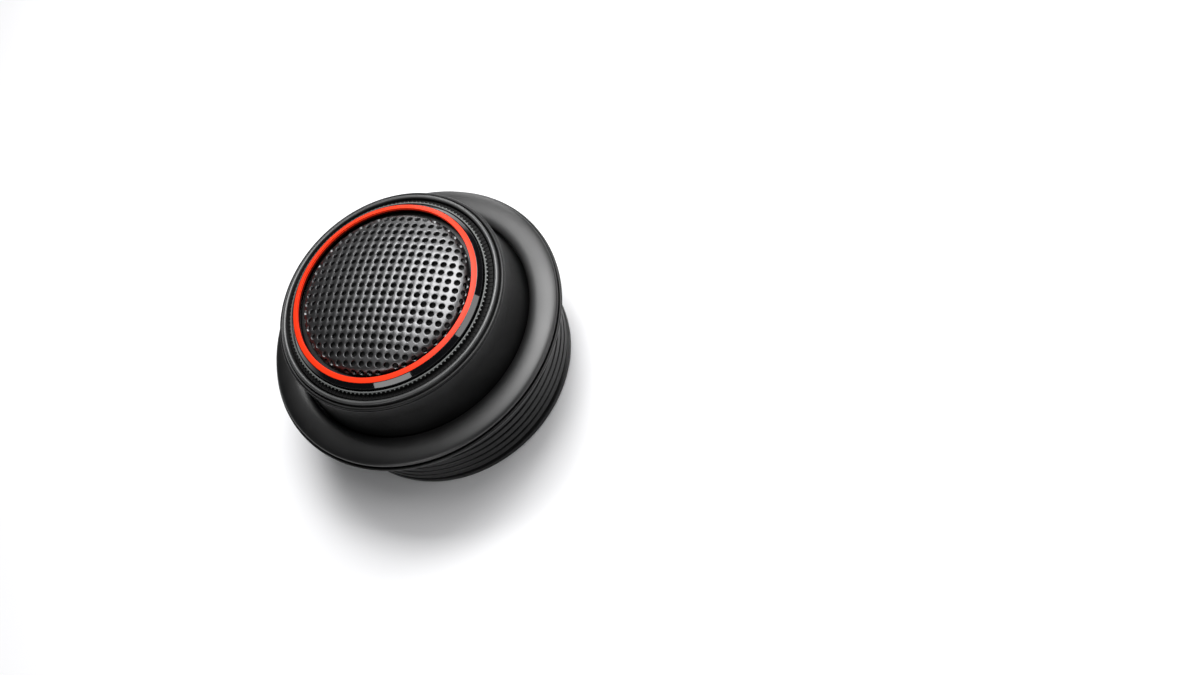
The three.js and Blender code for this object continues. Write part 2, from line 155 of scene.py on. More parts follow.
class Shader:                  # one material and its Principled shader
    def __init__(self, name, colour, roughness, metallic=0.0, **constants):
        self.material = bpy.data.materials.new(name)
        self.material.use_nodes = True
        self.tree = self.material.node_tree
        self.principled = self.tree.nodes["Principled BSDF"]
        self.set(**{"Base Color": (*colour, 1), "Roughness": roughness, "Metallic": metallic})
        self.set(**constants)

    def set(self, **values):
        for socket, value in values.items():
            self.feed(self.principled.inputs[socket.replace("_", " ")], value)

    def feed(self, socket, value):
        if isinstance(value, Wire):
            self.tree.links.new(value.socket, socket)
        else:
            socket.default_value = value

    def node(self, kind, settings=None, values=None, output=0):
        node = self.tree.nodes.new(kind)
        for key, value in (settings or {}).items():
            if key == "stops":
                ramp = node.color_ramp.elements
                while len(ramp) < len(value):
                    ramp.new(0.5)
                for stop, (place, shade) in zip(ramp, value):
                    stop.position = place
                    stop.color = (*shade, 1) if isinstance(shade, tuple) else (shade, shade, shade, 1)
            else:
                setattr(node, key, value)
        for key, value in (values or {}).items():
            self.feed(node.inputs[key], value)
        return Wire(self, node.outputs[output])

    def place(self):           # the point in the object's own space
        return self.node("ShaderNodeTexCoord", output="Object")

    def noise(self, size, detail=3.0, rough=0.55, vector=None):
        return self.node("ShaderNodeTexNoise", {}, {
            "Vector": vector or self.place(), "Scale": 1 / (size * mm),
            "Detail": detail, "Roughness": rough})

    def ramp(self, value, stops):
        return self.node("ShaderNodeValToRGB", {"stops": stops}, {"Fac": value})

    def blendColours(self, share, first, second):          # inputs 6 and 7 are the two colours
        mix = self.tree.nodes.new("ShaderNodeMix")
        mix.data_type = "RGBA"
        self.feed(mix.inputs[0], share)
        self.feed(mix.inputs[6], first if isinstance(first, Wire) else (*first, 1))
        self.feed(mix.inputs[7], second if isinstance(second, Wire) else (*second, 1))
        return Wire(self, mix.outputs[2])

    def bump(self, height, depth):
        self.set(Normal=self.node("ShaderNodeBump", {}, {"Height": height, "Distance": depth * mm}))

    def band(self, low, high):                             # 0 below one level, 1 above the other
        level = self.node("ShaderNodeSeparateXYZ", {}, {"Vector": self.place()}, "Z")
        return self.node("ShaderNodeMapRange", {}, {
            "Value": level, "From Min": low * mm, "From Max": high * mm})


finishes = {
    "satinBlack": {"colour": (0.002, 0.002, 0.0021), "worn": (0.005, 0.005, 0.0053), "roughness": 0.42,
                   "grain": 0.09, "depth": 0.003, "shine": 0.7},
    "wallBlack": {"colour": (0.002, 0.002, 0.0021), "worn": (0.0045, 0.0045, 0.0048), "roughness": 0.4,
                  "grain": 0.09, "depth": 0.003, "shine": 0.32},
    "beadGrey": {"colour": (0.025, 0.026, 0.026), "worn": (0.045, 0.046, 0.046), "roughness": 0.4,
                 "grain": 0.09, "depth": 0.003, "shine": 0.8},
    "threadBlack": {"colour": (0.002, 0.002, 0.0021), "worn": (0.006, 0.006, 0.0062), "roughness": 0.4,
                    "grain": 0.12, "depth": 0.005, "shine": 0.26},
    "mouldedBlack": {"colour": (0.004, 0.004, 0.0043), "worn": (0.01, 0.01, 0.0105), "roughness": 0.45,
                     "grain": 0.14, "depth": 0.006},
    "knurlBlack": {"colour": (0.0015, 0.0015, 0.0016), "worn": (0.003, 0.003, 0.003), "roughness": 0.6,
                   "grain": 0.08, "depth": 0.004, "shine": 0.15},
    "rubberBlack": {"colour": (0.007, 0.007, 0.0075), "worn": (0.018, 0.017, 0.016), "roughness": 0.72,
                    "grain": 0.2, "depth": 0.012},
    "boardBrown": {"colour": (0.09, 0.036, 0.014), "worn": (0.15, 0.07, 0.03), "roughness": 0.55,
                   "grain": 0.25, "depth": 0.006},
    "feltGrey": {"colour": (0.07, 0.07, 0.075), "worn": (0.16, 0.16, 0.16), "roughness": 0.95,
                 "grain": 0.12, "depth": 0.05},
}


mottle = {"size": 6.0, "broad": 0.6, "stops": [(0.42, 0.0), (0.7, 1.0)], "gloss": 0.1, "shine": 0.5}


def mouldedFinish(name):       # plastic, rubber and felt: mottled colour, uneven gloss, fine grain
    spec = finishes[name]
    shine = spec.get("shine", mottle["shine"])
    shader = Shader(name, spec["colour"], spec["roughness"], **{"Specular IOR Level": shine})
    broad = shader.noise(mottle["size"], 2.0)
    fine = shader.noise(spec["grain"], 4.0, 0.6)
    share = shader.ramp(broad * mottle["broad"] + fine * (1 - mottle["broad"]), mottle["stops"])
    shader.set(**{"Base Color": shader.blendColours(share, spec["colour"], spec["worn"])})
    shader.set(Roughness=(broad + fine) * mottle["gloss"] + (spec["roughness"] - mottle["gloss"]))
    shader.bump(fine, spec["depth"])
    return shader.material


def glossFinish():             # polished black with faint polishing swirls
    shader = Shader("glossBlack", (0.003, 0.003, 0.0035), 0.04, **{"Specular IOR Level": 0.6})
    haze = shader.noise(2.5, 3.0)
    shader.set(Roughness=haze * 0.05 + 0.015)
    shader.set(**{"Base Color": shader.blendColours(haze, (0.002, 0.002, 0.0025), (0.005, 0.005, 0.006))})
    return shader.material


def orangeFinish(edge):        # bright on the face; the walls below its edge get painted shade, a dark red copy of the orange
    # wall is the orange darkened as painted shade for the ring's walls in the channel
    deep, bright, wall = (0.8, 0.032, 0.006), (0.86, 0.04, 0.009), (0.14, 0.006, 0.002)
    shader = Shader("accentOrange", bright, 0.4)
    # face is 1 on the face and 0 on the walls below, which take the painted shade
    face = shader.band(edge - 0.05, edge)
    cloud = shader.noise(3.0, 3.0)
    grain = shader.noise(0.12, 3.0)
    colour = shader.blendColours(face, wall, shader.blendColours(cloud, deep, bright))
    shader.set(**{"Base Color": colour, "Specular IOR Level": 0.2})
    shader.set(Roughness=grain * 0.16 + 0.34)
    shader.bump(grain, 0.003)
    return shader.material


def metalFinish(name, colour, tarnish, roughness, grain, streak=1.0):
    shader = Shader(name, colour, roughness, 1.0)
    stretched = shader.node("ShaderNodeMapping", {}, {"Vector": shader.place(), "Scale": (1, 1, streak)})
    fine = shader.noise(grain, 4.0, 0.6, stretched)
    broad = shader.noise(4.0, 3.0)
    shader.set(**{"Base Color": shader.blendColours(broad, colour, tarnish)})
    shader.set(Roughness=fine * 0.16 + broad * 0.1 + (roughness - 0.13))
    shader.bump(fine, 0.003)
    return shader.material


def wovenFinish(name, colour, light, pitch, roughness, depth):
    shader = Shader(name, colour, roughness, 0.0, **{"Sheen Weight": 0.2})
    place = shader.place()
    threads = [shader.node("ShaderNodeTexWave", {"wave_type": "BANDS", "bands_direction": way}, {
        "Vector": place, "Scale": math.pi / (5 * pitch * mm) / 2, "Distortion": 0.4, "Detail": 1.0})
        for way in ("X", "Y")]
    weave = threads[0] * 0.5 + threads[1] * 0.5
    fluff = shader.noise(0.3, 3.0)
    shader.set(**{"Base Color": shader.blendColours(weave * fluff, colour, light)})
    shader.set(Roughness=fluff * 0.1 + (roughness - 0.05))
    shader.bump(weave, depth)
    return shader.material


def paintedLip(name, level, wall, lip):        # the ring's own colour below a level, paint above it
    shader = Shader(name, lip, 0.42)
    fine = shader.noise(0.1, 4.0)
    painted = shader.band(level - 0.03, level + 0.03)
    worn = shader.blendColours(fine, lip, tuple(1.5 * c for c in lip))
    shader.set(**{"Base Color": shader.blendColours(painted, wall, worn)})
    shader.set(Roughness=fine * 0.16 + 0.36)
    shader.bump(fine, 0.004)
    return shader.material


skins = {name: mouldedFinish(name) for name in finishes}
skins["glossBlack"] = glossFinish()
skins["gunmetal"] = metalFinish("gunmetal", (0.14, 0.14, 0.143), (0.108, 0.108, 0.11), 0.42, 0.09)
skins["brightSteel"] = metalFinish("brightSteel", (0.6, 0.61, 0.63), (0.5, 0.5, 0.5), 0.28, 0.1, 0.1)
skins["platedSteel"] = metalFinish("platedSteel", (0.46, 0.47, 0.45), (0.36, 0.35, 0.32), 0.36, 0.2)
skins["magnetNickel"] = metalFinish("magnetNickel", (0.63, 0.62, 0.6), (0.52, 0.52, 0.5), 0.22, 0.3)
skins["terminalBrass"] = metalFinish("terminalBrass", (0.62, 0.44, 0.16), (0.46, 0.3, 0.1), 0.3, 0.2)
skins["coilCopper"] = metalFinish("coilCopper", (0.6, 0.24, 0.1), (0.42, 0.15, 0.06), 0.36, 0.4, 12.0)
skins["formerAmber"] = wovenFinish("formerAmber", (0.3, 0.1, 0.015), (0.42, 0.17, 0.04), 0.4, 0.35, 0.002)
skins["scrimCloth"] = wovenFinish(
    "scrimCloth", (0.002, 0.002, 0.0022), (0.012, 0.012, 0.012), 0.16, 0.9, 0.03)
skins["domeSilk"] = wovenFinish("domeSilk", (0.02, 0.016, 0.014), (0.05, 0.042, 0.036), 0.12, 0.7, 0.01)
skins["surroundCloth"] = wovenFinish(
    "surroundCloth", (0.012, 0.011, 0.01), (0.03, 0.027, 0.025), 0.12, 0.8, 0.01)
print("finishes made:", len(skins))


def finish(mesh, name, skin, body, nodes, sharp=30):
    bmesh.ops.remove_doubles(mesh, verts=mesh.verts, dist=weld)
    bmesh.ops.recalc_face_normals(mesh, faces=mesh.faces)
    bmesh.ops.scale(mesh, vec=(mm, mm, mm), verts=mesh.verts)
    data = bpy.data.meshes.new(name)
    mesh.to_mesh(data)
    mesh.free()
    data.materials.append(skins[skin])
    data.shade_smooth()
    data.set_sharp_from_angle(angle=math.radians(sharp))
    piece = bpy.data.objects.new(name, data)
    bpy.context.scene.collection.objects.link(piece)
    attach(piece, body)
    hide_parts(*nodes)
    return piece


def bow(middle, radii, start, end, steps):     # points along an ellipse in the section, angles in degrees
    angles = [math.radians(start + (end - start) * i / steps) for i in range(steps + 1)]
    return [(middle[0] + radii[0] * math.cos(a), middle[1] + radii[1] * math.sin(a), 0) for a in angles]


def addSection(mesh, corners):                 # corners are (radius, level, rounding)
    section = bmesh.new()
    verts = [section.verts.new((r, 0, z)) for r, z, _ in corners]
    section.faces.new(verts)
    for vert, (_, _, rounding) in zip(verts, corners):
        if rounding:
            bmesh.ops.bevel(section, geom=[vert], offset=rounding, offset_type="OFFSET", affect="VERTICES",
                            segments=4, profile=0.5, material=-1)
    face = next(iter(section.faces))
    ring = [mesh.verts.new(v.co) for v in face.verts]
    section.free()
    pairs = zip(ring, ring[1:] + ring[:1])
    return [mesh.edges.new(pair) for pair in pairs if any(v.co.x > weld for v in pair)]


def spinSection(mesh, corners, steps=plainSteps):
    edges = addSection(mesh, corners)
    verts = list({v for e in edges for v in e.verts})
    bmesh.ops.spin(mesh, geom=verts + edges, cent=(0, 0, 0), axis=(0, 0, 1), angle=turn, steps=steps,
                   use_merge=True)


def spun(corners, name, skin, body, nodes, steps=plainSteps, sharp=30):
    mesh = bmesh.new()
    spinSection(mesh, corners, steps)
    return finish(mesh, name, skin, body, nodes, sharp)


flangeShape = {"crownWidth": 3.3, "seatGap": 0.2, "boreGap": 0.1, "wall": 0.3, "crown": 23.25,
               "innerEdge": 0.55}


def makeTrimFlange(spec):      # a broad crown, falling steeply inside to the collar's foot
    low, high = flangeSize["low"], flangeSize["high"]
    radius = flangeSize["radius"] - spec["seatGap"]
    bore = collarSize["radius"] + spec["boreGap"]
    outerFoot, innerFoot = low + spec["wall"], low + spec["innerEdge"]
    shoulder = bow((radius - spec["crownWidth"], outerFoot),
                   (spec["crownWidth"], high - outerFoot), 0, 90, 24)
    inner = bow((spec["crown"], innerFoot), (spec["crown"] - bore, high - innerFoot), 90, 180, 16)
    return spun([(bore, low, 0), (radius, low, 0), *shoulder, *inner],
                "flangeRing", "satinBlack", "cup", ["trim_flange"], seenSteps)


makeTrimFlange(flangeShape)
print("trim flange made")


baseShape = {"pitch": 1.75, "crest": 1.25, "root": 0.22, "depth": 0.62, "sink": 0.2, "round": 0.1,
             "flare": 0.03, "startAngle": 130, "steps": 180, "lead": 1.0, "leadGap": 0.1,
             "runOut": 0.35, "chamfer": 0.45, "wallGap": 0.3, "lipHeight": 0.8, "lipRound": 0.3,
             "seatGap": 0.14, "rabbet": 0.5}


def makeThread(mesh, spec, root, low, turns):      # one helical ridge with broad flat crests
    start = Matrix.Rotation(math.radians(spec["startAngle"]), 3, "Z")
    half, foot, tip = spec["crest"] / 2, (spec["pitch"] - spec["root"]) / 2, root + spec["depth"]
    edge = tip - spec["round"]
    flank, face = half + spec["flare"], half + spec["flare"] - spec["round"]
    section = [(root - spec["sink"], low - foot), (root, low - foot), (edge, low - flank), (tip, low - face),
               (tip, low + face), (edge, low + flank), (root, low + foot), (root - spec["sink"], low + foot)]
    profile = mesh.faces.new([mesh.verts.new(start @ Vector((r, 0, z))) for r, z in section])
    bmesh.ops.spin(mesh, geom=[profile], cent=(0, 0, 0), axis=(0, 0, 1), angle=turn * turns,
                   steps=int(spec["steps"] * turns), dvec=(0, 0, spec["pitch"] / spec["steps"]))


def makeThreadedBase(spec):
    mesh = bmesh.new()
    top, radius = baseSize["high"], baseSize["radius"]
    bore, tip = coverSize["radius"] + spec["wallGap"], threadSize["radius"]
    root = tip - spec["depth"]
    lipFoot, lipRound = top - spec["lipHeight"], spec["lipRound"]
    start = spec["chamfer"] + spec["lead"]
    turns = (lipFoot - start) / spec["pitch"] - spec["runOut"]
    makeThread(mesh, spec, root, start + spec["crest"] / 2 + spec["leadGap"], turns)
    seat = flangeSize["radius"] - flangeShape["seatGap"] + spec["seatGap"]
    spinSection(mesh, [
        (bore, 0, 0.2), (tip - spec["chamfer"], 0, 0), (tip, spec["chamfer"], 0.1), (tip, start, 0.06),
        (root, start + 0.2, 0), (root, lipFoot, 0.2), (radius - lipRound, lipFoot, 0.1),
        (radius, lipFoot + lipRound, 0.12), (radius, top - 0.14, 0), (radius - 0.1, top - 0.02, 0),
        (seat, top, 0.04), (seat, top - spec["rabbet"], 0), (bore, top - spec["rabbet"], 0.1),
    ])
    return finish(mesh, "baseBarrel", "threadBlack", "cup", ["threaded_base"])


makeThreadedBase(baseShape)
print("threaded base made")


collarShape = {"boreGap": 0.14, "bead": 0.66, "beadRise": 0.24, "wallTop": 0.42, "ledge": 0.25,
               "overhang": 0.1, "grooveDepth": 0.22, "grooveWidth": 0.16, "slant": 0.02,
               "flareTop": 3.4, "flareSteps": 16, "footDrop": 0.45, "skirt": 0.5}
retainerShape = {"beadRise": 0.25, "edge": 0.1}
beadSteps = 14


def makeCollar(spec):          # a wall that flares to its foot, with a groove and a bead at its mouth
    high, low, foot = collarSize["high"], collarSize["low"], collarSize["radius"]
    bore = retainerSize["radius"] + spec["boreGap"]
    lip = bore + spec["bead"]
    skirt, footLevel = foot - spec["skirt"], flangeSize["low"] - spec["footDrop"]
    wallTop, flareTop = high - spec["wallTop"], high - spec["flareTop"]
    shares = [i / spec["flareSteps"] for i in range(spec["flareSteps"] + 1)]
    flare = [(lip + (foot - lip) * (1 - i) ** 2, footLevel + (flareTop - footLevel) * i, 0) for i in shares]
    groove, edge = lip - spec["grooveDepth"], lip + spec["overhang"]
    grooveTop, rise = wallTop + spec["grooveWidth"], spec["beadRise"]
    return spun([
        (bore, low, 0.15), (skirt, low, 0.15), (skirt, footLevel, 0), *flare,
        (edge, wallTop - spec["ledge"], 0.1), (edge, wallTop, 0.06), (groove, wallTop + spec["slant"], 0),
        (groove, grooveTop, 0), (lip, grooveTop + spec["slant"], 0.06),
        *bow(((lip + bore) / 2, high - rise), ((lip - bore) / 2, rise), 0, 180, beadSteps),
    ], "collarWall", "wallBlack", "cup", ["collar"], seenSteps)


def makeRetainingRing(spec):
    bore, radius = retainerSize["bore"], retainerSize["radius"]
    low, top = retainerSize["low"], retainerSize["high"] - spec["beadRise"]
    return spun([
        (bore, low, spec["edge"]), (radius, low, spec["edge"]),
        *bow(((bore + radius) / 2, top), ((radius - bore) / 2, spec["beadRise"]), 0, 180, beadSteps),
    ], "retainerBead", "beadGrey", "cup", ["retaining_ring"], seenSteps)


makeCollar(collarShape)
makeRetainingRing(retainerShape)
print("collar and retaining ring made")


knurl = {"ribs": 150, "height": 0.1, "share": 0.4, "taper": 0.35, "outerGap": 0.25, "innerGap": 0.04,
         "flange": 1.0, "steps": 200}
teeth = {"count": 144, "wall": 0.24, "reach": 0.26, "drop": 0.5, "share": 0.62, "seatGap": 0.02,
         "sink": 0.05, "topGap": 0.08, "tipDrop": 0.2, "paint": 0.2}
skins["indexGrey"] = paintedLip(
    "indexGreyPaint", indexSize["high"] - teeth["paint"], (0.002, 0.002, 0.002), (0.07, 0.074, 0.072))


def repeatRound(mesh, geom, count):
    bmesh.ops.spin(mesh, geom=geom, cent=(0, 0, 0), axis=(0, 0, 1), angle=turn * (count - 1) / count,
                   steps=count - 1, use_duplicate=True)


def makeSwivelRing(spec):
    mesh = bmesh.new()
    outer, inner = retainerSize["bore"] - spec["outerGap"], indexSize["radius"]
    bore, low, high = swivelSize["bore"], swivelSize["low"], swivelSize["high"]
    half = math.pi / spec["ribs"] * spec["share"] * outer
    block = bmesh.ops.create_cube(mesh, size=1)["verts"]
    bmesh.ops.scale(mesh, vec=(outer - inner - spec["innerGap"], 2 * half, spec["height"] * 2), verts=block)
    for vert in [v for v in block if v.co.z > 0]:
        vert.co.y *= spec["taper"]
    bmesh.ops.translate(mesh, vec=((outer + inner) / 2, 0, high), verts=block)
    repeatRound(mesh, list(mesh.verts) + list(mesh.edges) + list(mesh.faces), spec["ribs"])
    radius, flangeTop = swivelSize["radius"], low + spec["flange"]
    spinSection(mesh, [
        (bore, low, 0.05), (radius, low, 0.1), (radius, flangeTop, 0.1), (outer, flangeTop, 0),
        (outer, high, 0.08), (bore, high, 0.05),
    ], spec["steps"])
    return finish(mesh, "swivelBearing", "knurlBlack", "swivel", ["swivel_ring"])


def makeIndexRing(spec):
    mesh = bmesh.new()
    bore, high = indexSize["bore"] - spec["seatGap"], indexSize["high"]
    radius, foot = bore + spec["wall"], swivelSize["high"] - spec["seatGap"]
    half = math.pi / spec["count"] * spec["share"] * radius
    root, top = radius - spec["sink"], high - spec["topGap"]
    tooth = [mesh.verts.new(p) for p in (
        (root, -half, top), (root, half, top), (radius + spec["reach"], 0, high - spec["tipDrop"]),
        (root, 0, top - spec["drop"]))]
    for a, b, c in ((0, 1, 2), (1, 0, 3), (0, 2, 3), (2, 1, 3)):
        mesh.faces.new((tooth[a], tooth[b], tooth[c]))
    repeatRound(mesh, list(mesh.verts) + list(mesh.edges) + list(mesh.faces), spec["count"])
    spinSection(mesh, [(bore, foot, 0), (radius, foot, 0), (radius, high, 0.06), (bore, high, 0.06)])
    return finish(mesh, "indexTeeth", "indexGrey", "swivel", ["index_ring"], 20)


makeSwivelRing(knurl)
makeIndexRing(teeth)
print("swivel ring and index ring made")


shellShape = {"wall": 1.25, "ledge": 1.5, "edge": 0.1, "steps": 30}
bezelShape = {"floor": 0.7, "land": 0.04, "sink": 0.2, "chamferDrop": 0.75, "edge": 0.04, "swing": 0.1,
              "footDrop": 0.2, "seatGap": 0.03, "holds": (0.12, 0.16, 0.84, 0.88)}
accentShape = {"slope": 0.3, "inset": 0.08, "round": 0.06, "foot": 0.05, "paintedShadeDrop": 0.04}
# the painted shade on the ring's walls starts this far below the edge of the sloped face
skins["accentOrange"] = orangeFinish(accentSize["high"] - accentShape["slope"] - accentShape["paintedShadeDrop"])


def makeHeadShell(spec):
    bore, radius, low, high = shellSize["bore"], shellSize["radius"], shellSize["low"], shellSize["high"]
    upperBore, ledge = radius - spec["wall"], pivot - spec["ledge"]
    first, last = (math.degrees(math.asin((level - pivot) / radius)) for level in (low, high))
    return spun([
        (bore, low, spec["edge"]), *bow((0, pivot), (radius, radius), first, last, spec["steps"]),
        (upperBore, high, spec["edge"]), (upperBore, ledge, 0), (bore, ledge, spec["edge"]),
    ], "headBall", "mouldedBlack", "head", ["head_shell"])


def makeBezel(spec):           # holding points keep the polished chamfer flat between its rounded edges
    low, high = bezelSize["low"] - spec["footDrop"], bezelSize["high"] - spec["sink"]
    seat = accentSize["radius"] - accentShape["inset"] + spec["seatGap"]
    footLevel = high - spec["chamferDrop"]
    radius = math.sqrt((shellSize["radius"] + spec["swing"]) ** 2 - (footLevel - pivot) ** 2)
    foot, crest = Vector((radius, footLevel)), Vector((seat + spec["land"], high))
    flat = [foot.lerp(crest, share) for share in spec["holds"]]
    return spun([
        (bezelSize["bore"], low, 0), (radius, low, spec["edge"]), (foot.x, foot.y, spec["edge"]),
        *[(p.x, p.y, 0) for p in flat], (crest.x, crest.y, spec["edge"]), (seat, high, 0),
        (seat, low + spec["floor"], 0), (bezelSize["bore"], low + spec["floor"], 0),
    ], "bezelGloss", "glossBlack", "head", ["gloss_bezel"], seenSteps)


def makeAccentRing(spec):      # its face slopes gently outwards
    low, high = accentSize["low"], accentSize["high"]
    bore, radius = accentSize["bore"], accentSize["radius"] - spec["inset"]
    edge, rim = high - spec["slope"], bore + spec["inset"]
    return spun([
        (bore, low, spec["foot"]), (radius, low, spec["foot"]), (radius, edge, spec["round"]),
        (rim, high, spec["round"]), (rim, edge, 0), (bore, edge, 0),
    ], "accentOrangeRing", "accentOrange", "head", ["accent_ring"], seenSteps)


makeHeadShell(shellShape)
makeBezel(bezelShape)
makeAccentRing(accentShape)
print("head shell, bezel and accent ring made")


grilleShape = {"pitch": 1.5, "hole": 0.5, "roll": 0.06, "dip": 0.03, "rows": 10, "reach": 15.45,
               "holeSides": 14, "rimGap": 0.05, "cap": 13.7, "drop": 1.75, "power": 2.3, "shoulder": 1.9,
               "steepest": 80, "webStart": 12.2, "webs": (0.5, 0.3), "thickness": 0.4, "skirt": 0.25}


def capSlope(spec):            # of the cap's edge, in radians
    return math.atan(spec["drop"] * spec["power"] / spec["cap"])


def pressed(spec, radius):     # where a point of the flat sheet goes: a shallow cap, then a round shoulder
    first = capSlope(spec)
    if radius <= spec["cap"]:
        return radius, -spec["drop"] * (radius / spec["cap"]) ** spec["power"]
    slope = first + (radius - spec["cap"]) / spec["shoulder"]
    return (spec["cap"] + spec["shoulder"] * (math.sin(slope) - math.sin(first)),
            -spec["drop"] - spec["shoulder"] * (math.cos(first) - math.cos(slope)))


def addCircle(mesh, x, y, radius, sides):
    ring = bmesh.ops.create_circle(mesh, cap_ends=False, radius=radius, segments=sides)["verts"]
    bmesh.ops.translate(mesh, vec=(x, y, 0), verts=ring)
    return ring


def makeGrille(spec):
    mesh = bmesh.new()
    edgeRadius = spec["cap"] + spec["shoulder"] * (math.radians(spec["steepest"]) - capSlope(spec))
    rim = set(addCircle(mesh, 0, 0, edgeRadius, plainSteps))
    lines = list({e for v in rim for e in v.link_edges})
    rings = []
    steps = range(-spec["rows"], spec["rows"] + 1)
    outer = spec["hole"] + spec["roll"]
    for x, y in ((i * spec["pitch"], j * spec["pitch"]) for i in steps for j in steps):
        away = math.hypot(x, y)
        if away > spec["reach"]:
            continue
        share = min(1.0, (edgeRadius - outer - spec["rimGap"]) / max(away, spec["hole"]))
        ring = addCircle(mesh, x * share, y * share, outer, spec["holeSides"])
        rings.append((x * share, y * share, ring, list({e for v in ring for e in v.link_edges})))
        lines += rings[-1][3]
    bmesh.ops.triangle_fill(mesh, use_beauty=True, use_dissolve=False, edges=lines, normal=(0, 0, 1))
    for reach in spec["webs"]:     # finer webs, so that the shoulder bends smoothly
        webs = [e for e in mesh.edges if not e.is_boundary and e.calc_length() > reach
                and ((e.verts[0].co + e.verts[1].co) / 2).length > spec["webStart"]]
        bmesh.ops.subdivide_edges(mesh, edges=webs, cuts=1, use_grid_fill=False)
        bmesh.ops.triangulate(mesh, faces=[f for f in mesh.faces if len(f.verts) > 3])
    for x, y, ring, edges in rings:
        inner = bmesh.ops.extrude_edge_only(mesh, edges=edges)["geom"]
        walls = [g for g in inner if isinstance(g, bmesh.types.BMVert)]
        size = spec["hole"] / outer
        bmesh.ops.scale(mesh, vec=(size, size, 1), verts=walls, space=Matrix.Translation((-x, -y, 0)))
        bmesh.ops.translate(mesh, vec=(0, 0, -spec["dip"]), verts=walls)
    for vert in mesh.verts:
        away = vert.co.xy.length
        radius, level = pressed(spec, away)
        share = radius / max(away, weld)
        vert.co = (vert.co.x * share, vert.co.y * share, vert.co.z + grilleSize["high"] + level)
    edges = [e for e in mesh.edges if e.is_boundary and all(v in rim for v in e.verts)]
    grown = bmesh.ops.extrude_edge_only(mesh, edges=edges)["geom"]
    skirt = [g for g in grown if isinstance(g, bmesh.types.BMVert)]
    bmesh.ops.translate(mesh, vec=(0, 0, -spec["skirt"]), verts=skirt)
    piece = finish(mesh, "grilleDome", "gunmetal", "head", ["grille"], 50)
    wall = piece.modifiers.new("wall", "SOLIDIFY")
    wall.thickness = spec["thickness"] * mm
    wall.offset = -1
    return piece


makeGrille(grilleShape)
print("grille made")


turned = {                     # node: skin, slot, body, rounding of the outer and inner edges
    "friction_washer": ("brightSteel", "bright_steel", "cup", 0.08),
    "clamp_ring": ("mouldedBlack", "moulded_black", "head", 0.12),
    "faceplate": ("mouldedBlack", "moulded_black", "head", 0.2),
    "magnet": ("magnetNickel", "magnet_nickel", "head", 0.25),
    "pole_plate": ("platedSteel", "plated_steel", "head", 0.15),
    "damping_pad": ("feltGrey", "felt_grey", "head", 0.22),
    "voice_coil_former": ("formerAmber", "former_amber", "diaphragm", 0.04),
}


def discNode(node):            # true where the CAD node reaches the axis
    return sizes[node]["bore"] < 0.1


for node, (skin, slot, body, rounding) in turned.items():
    size = sizes[node]
    bore, inner = (0, 0) if discNode(node) else (size["bore"], rounding)
    spun([(bore, size["low"], inner), (size["radius"], size["low"], rounding),
          (size["radius"], size["high"], rounding), (bore, size["high"], inner)],
         node.split("_")[0] + "Turned", skin, body, [node], hiddenSteps)
print("turned rings and discs made:", len(turned))


motorShape = {"yokeWall": 1.4, "yokeFloor": 1.8, "round": 0.3, "capWall": 0.7, "cupSteps": 180,
              "turns": 13, "coilSteps": 120, "domeBulge": 2.0, "domeSkin": 0.16, "rollRise": 0.9,
              "rollReach": 0.6, "rollSkin": 0.24, "rollSteps": 18, "scrimSkin": 0.25, "sheetSteps": 24}


def makeCup(node, name, skin, wall, floor, rounding):
    size = sizes[node]
    radius, low, high = size["radius"], size["low"], size["high"]
    return spun([
        (0, low, 0), (radius, low, rounding), (radius, high, rounding / 2),
        (radius - wall, high, rounding / 2),
        (radius - wall, low + floor, rounding), (0, low + floor, 0),
    ], name, skin, "head", [node], motorShape["cupSteps"])


def makeCoil(spec):
    size = sizes["voice_coil"]
    pitch = (size["high"] - size["low"]) / spec["turns"]
    outer = [p for i in range(spec["turns"]) for p in bow(
        (size["radius"] - pitch / 2, size["low"] + pitch * (i + 0.5)), (pitch / 2, pitch / 2), -80, 80, 5)]
    return spun([(size["bore"], size["low"], 0), *outer, (size["bore"], size["high"], 0)],
                "coilWinding", "coilCopper", "diaphragm", ["voice_coil"],
                spec["coilSteps"], 60)


def capLine(radius, low, rise, power, steps):
    shares = [1 - i / steps for i in range(steps + 1)]
    return [(radius * share, low + rise * (1 - share ** power), 0) for share in shares]


def makeCap(node, name, skin, body, thickness, power):       # a thin domed sheet
    size = sizes[node]
    rise = size["high"] - size["low"] - thickness
    steps = motorShape["sheetSteps"]
    under = capLine(size["radius"] - 0.02, size["low"], rise, power, steps)
    over = capLine(size["radius"], size["low"] + thickness, rise, power, steps)
    return spun([*under[::-1], *over], name, skin, body, [node], hiddenSteps, 60)


def makeSurround(spec):        # a half roll between the faceplate and the dome
    size = sizes["surround"]
    half = (sizes["faceplate"]["bore"] + spec["rollReach"] - size["bore"]) / 2
    middle, low, skin = size["bore"] + half, size["low"], spec["rollSkin"]
    under = bow((middle, low), (half, spec["rollRise"]), 0, 180, spec["rollSteps"])
    over = bow((middle, low + skin), (half, spec["rollRise"]), 0, 180, spec["rollSteps"])
    return spun([*under[::-1], (size["radius"], low, 0.05), (size["radius"], low + skin, 0.05), *over],
                "surroundRoll", "surroundCloth", "head", ["surround"], hiddenSteps, 50)


makeCup("yoke_cup", "yokeTurned", "platedSteel",
        motorShape["yokeWall"], motorShape["yokeFloor"], motorShape["round"])
makeCup("rear_cap", "rearCapShell", "mouldedBlack",
        motorShape["capWall"], motorShape["capWall"], motorShape["round"])
makeCoil(motorShape)
makeCap("dome", "silkDome", "domeSilk", "diaphragm",
        motorShape["domeSkin"], motorShape["domeBulge"])
makeCap("dust_scrim", "scrimSheet", "scrimCloth", "head", motorShape["scrimSkin"],
        grilleShape["power"])
makeSurround(motorShape)
print("motor and diaphragm made")


